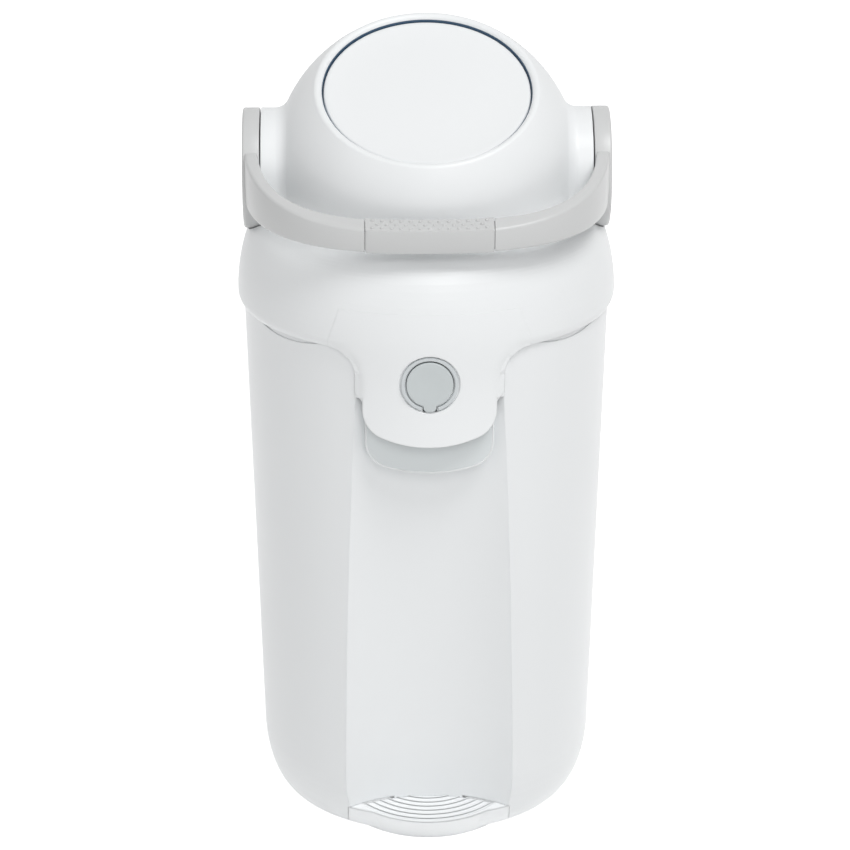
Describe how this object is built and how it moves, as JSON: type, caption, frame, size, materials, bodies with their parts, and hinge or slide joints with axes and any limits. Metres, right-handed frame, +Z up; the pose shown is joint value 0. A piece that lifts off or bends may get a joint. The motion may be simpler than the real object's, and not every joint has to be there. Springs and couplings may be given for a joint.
{
  "type": "nappy bin with a turning drum",
  "caption": "Tall round nappy bin with a hinged lid, a flip-over handle that turns a drum with a sliding piston, and a front push button.",
  "frame": {"origin": "on the floor under the middle of the round bin, level with the undersides of its rubber feet", "axes": "+Z up along the bin's height, the front with the push button towards -Y, the drum's axis along X"},
  "size_m": [0.3124, 0.3134, 0.6709],
  "materials": {
    "white_plastic": "satin",
    "grey_plastic": "satin",
    "grip_plastic": "satin",
    "button_plastic": "satin",
    "pale_plastic": "satin",
    "steel": "satin",
    "seal_rubber": "matte"
  },
  "bodies": {
    "bin": {"bin_body": "white_plastic", "foot_step": "white_plastic", "rubber_feet": "seal_rubber", "latch_keeper": "pale_plastic", "keeper_screws": "steel", "hinge_pin": "steel", "bag_ring": "white_plastic"},
    "lid": {"lid_collar": "white_plastic", "drum_chute": "pale_plastic", "drum_seal": "seal_rubber", "lid_gasket": "seal_rubber", "chute_screws": "steel", "bearing_plate_left": "steel", "bearing_plate_right": "steel", "plate_screws": "steel", "bush_left": "pale_plastic", "bush_right": "pale_plastic", "button_bezel": "pale_plastic", "button_housing": "pale_plastic", "button_spring": "steel", "latch_pin": "steel"},
    "button": {"push_button": "button_plastic"},
    "latch": {"latch_hook": "button_plastic"},
    "drum": {"drum_front_shell": "white_plastic", "drum_rear_shell": "white_plastic", "bore_sleeve": "white_plastic", "spindle_left": "steel", "spindle_right": "steel", "handle_bow": "grey_plastic", "handle_grip": "grip_plastic", "handle_screws": "steel", "handle_caps": "grey_plastic"},
    "piston": {"piston_core": "pale_plastic", "piston_face_front": "white_plastic", "piston_face_rear": "white_plastic", "piston_seals": "seal_rubber"}
  },
  "joints": [
    {"name": "lid_hinge", "type": "hinge", "parent": "bin", "child": "lid", "pos_m": [0, 0.152, 0.4446], "axis": [-1, 0, 0], "range_deg": [0, 95]},
    {"name": "drum_turn", "type": "hinge", "parent": "lid", "child": "drum", "pos_m": [0, 0, 0.5515], "axis": [-1, 0, 0], "range_deg": [0, 192]},
    {"name": "piston_slide", "type": "slide", "parent": "drum", "child": "piston", "axis": [0, 0.4617, -0.887], "range_m": [0, 0.121]},
    {"name": "button_push", "type": "slide", "parent": "lid", "child": "button", "axis": [0, 1, 0], "range_m": [0, 0.0035], "stiffness_N_per_m": 600, "springref_m": -0.004, "deforming": ["button_spring"]},
    {"name": "latch_turn", "type": "hinge", "parent": "lid", "child": "latch", "pos_m": [0, -0.1454, 0.386], "axis": [-1, 0, 0], "range_deg": [0, 11.3]}
  ],
  "couplings": [
    {"joint": "latch_turn", "follows": "button_push", "rad_per_m": 55.5}
  ]
}
